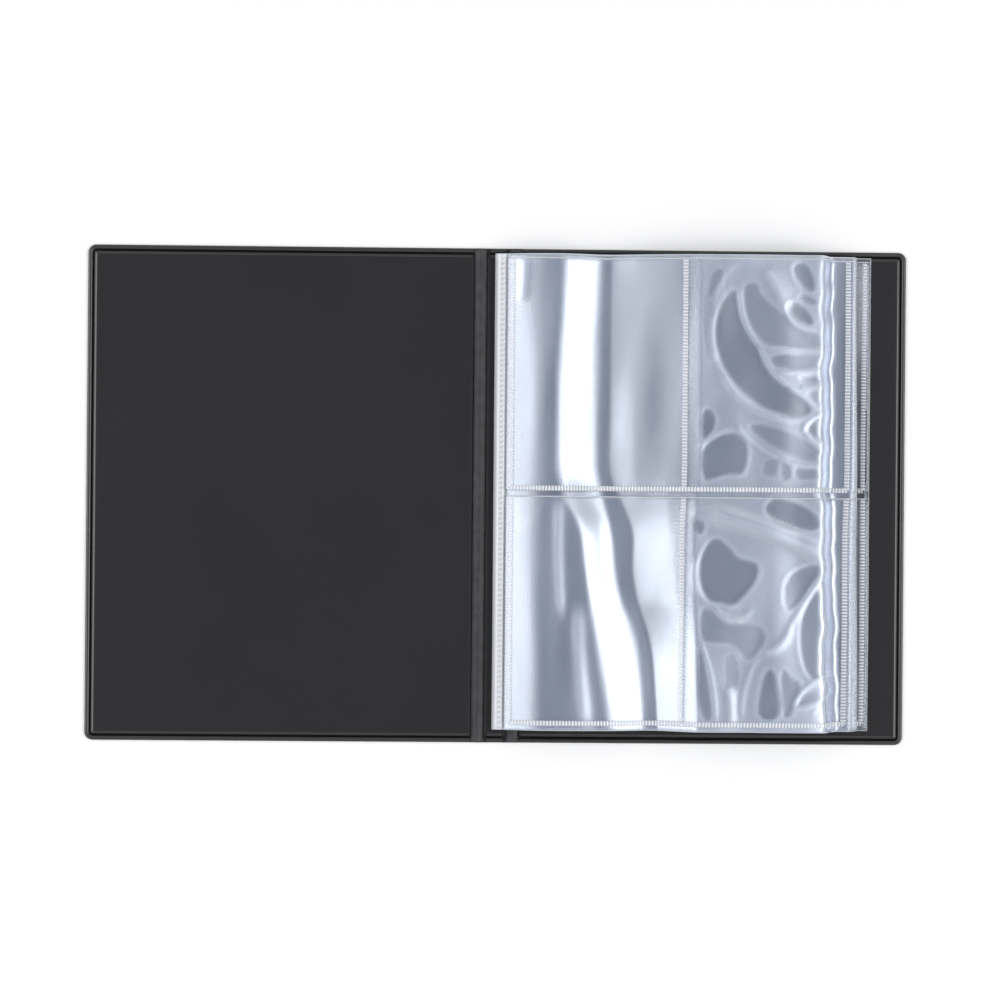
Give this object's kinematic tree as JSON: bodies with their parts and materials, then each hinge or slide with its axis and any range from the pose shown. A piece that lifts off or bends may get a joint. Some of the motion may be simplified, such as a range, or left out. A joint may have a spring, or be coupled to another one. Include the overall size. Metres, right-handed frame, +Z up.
{
  "type": "trading card album",
  "caption": "Open trading card album: board-stiffened vinyl covers that fold at welded gutters, and clear film leaves with card pockets that turn on a welded binding.",
  "frame": {"origin": "on the table, under the middle of the spine", "axes": "+X to the right across the open album, from front cover to back cover; +Y up the page, along the spine; +Z up from the table"},
  "size_m": [0.323, 0.195, 0.0078],
  "materials": {
    "vinyl": "black PVC sheet, fine matte grain",
    "board": "raw grey board",
    "film": "clear glossy film, slightly wrinkled",
    "seam": "knurled weld in clear film"
  },
  "bodies": {
    "spine": {"spine_skin": "vinyl", "spine_board": "board", "spine_lining": "vinyl", "binding_weld": "seam", "front_hinge_gutter": "vinyl", "back_hinge_gutter": "vinyl"},
    "front_cover": {"front_skin": "vinyl", "front_board": "board", "front_lining": "vinyl"},
    "back_cover": {"back_skin": "vinyl", "back_board": "board", "back_lining": "vinyl"},
    "leaf_01": {"leaf_01_back_film": "film", "leaf_01_upper_film": "film", "leaf_01_lower_film": "film", "leaf_01_seams": "seam"},
    "leaf_02": {"leaf_02_back_film": "film", "leaf_02_upper_film": "film", "leaf_02_lower_film": "film", "leaf_02_seams": "seam"},
    "leaf_03": {"leaf_03_back_film": "film", "leaf_03_upper_film": "film", "leaf_03_lower_film": "film", "leaf_03_seams": "seam"},
    "leaf_04": {"leaf_04_back_film": "film", "leaf_04_upper_film": "film", "leaf_04_lower_film": "film", "leaf_04_seams": "seam"},
    "leaf_05": {"leaf_05_back_film": "film", "leaf_05_upper_film": "film", "leaf_05_lower_film": "film", "leaf_05_seams": "seam"},
    "leaf_06": {"leaf_06_back_film": "film", "leaf_06_upper_film": "film", "leaf_06_lower_film": "film", "leaf_06_seams": "seam"},
    "leaf_07": {"leaf_07_back_film": "film", "leaf_07_upper_film": "film", "leaf_07_lower_film": "film", "leaf_07_seams": "seam"},
    "leaf_08": {"leaf_08_back_film": "film", "leaf_08_upper_film": "film", "leaf_08_lower_film": "film", "leaf_08_seams": "seam"},
    "leaf_09": {"leaf_09_back_film": "film", "leaf_09_upper_film": "film", "leaf_09_lower_film": "film", "leaf_09_seams": "seam"},
    "leaf_10": {"leaf_10_back_film": "film", "leaf_10_upper_film": "film", "leaf_10_lower_film": "film", "leaf_10_seams": "seam"}
  },
  "joints": [
    {"name": "front_cover_fold", "type": "hinge", "parent": "spine", "child": "front_cover", "pos_m": [-0.00695, 0, 0.00032], "axis": [0, 1, 0], "range_deg": [0, 90], "deforming": ["front_hinge_gutter"]},
    {"name": "back_cover_fold", "type": "hinge", "parent": "spine", "child": "back_cover", "pos_m": [0.00695, 0, 0.00032], "axis": [0, -1, 0], "range_deg": [0, 90], "deforming": ["back_hinge_gutter"]},
    {"name": "leaf_10_turn", "type": "hinge", "parent": "spine", "child": "leaf_10", "pos_m": [0.00145, 0, 0.00502], "axis": [0, -1, 0], "range_deg": [0, 90]},
    {"name": "leaf_09_turn", "type": "hinge", "parent": "leaf_10", "child": "leaf_09", "pos_m": [0.00145, 0, 0.00502], "axis": [0, 1, 0], "range_deg": [-17.5, 0]},
    {"name": "leaf_08_turn", "type": "hinge", "parent": "leaf_09", "child": "leaf_08", "pos_m": [0.00145, 0, 0.00502], "axis": [0, 1, 0], "range_deg": [-17.5, 0]},
    {"name": "leaf_07_turn", "type": "hinge", "parent": "leaf_08", "child": "leaf_07", "pos_m": [0.00145, 0, 0.00502], "axis": [0, 1, 0], "range_deg": [-17.5, 0]},
    {"name": "leaf_06_turn", "type": "hinge", "parent": "leaf_07", "child": "leaf_06", "pos_m": [0.00145, 0, 0.00502], "axis": [0, 1, 0], "range_deg": [-17.5, 0]},
    {"name": "leaf_05_turn", "type": "hinge", "parent": "leaf_06", "child": "leaf_05", "pos_m": [0.00145, 0, 0.00502], "axis": [0, 1, 0], "range_deg": [-17.5, 0]},
    {"name": "leaf_04_turn", "type": "hinge", "parent": "leaf_05", "child": "leaf_04", "pos_m": [0.00145, 0, 0.00502], "axis": [0, 1, 0], "range_deg": [-17.5, 0]},
    {"name": "leaf_03_turn", "type": "hinge", "parent": "leaf_04", "child": "leaf_03", "pos_m": [0.00145, 0, 0.00502], "axis": [0, 1, 0], "range_deg": [-17.5, 0]},
    {"name": "leaf_02_turn", "type": "hinge", "parent": "leaf_03", "child": "leaf_02", "pos_m": [0.00145, 0, 0.00502], "axis": [0, 1, 0], "range_deg": [-17.5, 0]},
    {"name": "leaf_01_turn", "type": "hinge", "parent": "leaf_02", "child": "leaf_01", "pos_m": [0.00145, 0, 0.00502], "axis": [0, 1, 0], "range_deg": [-17.5, 0]}
  ],
  "couplings": [
    {"joint": "leaf_10_turn", "follows": "back_cover_fold", "ratio": 1}
  ]
}
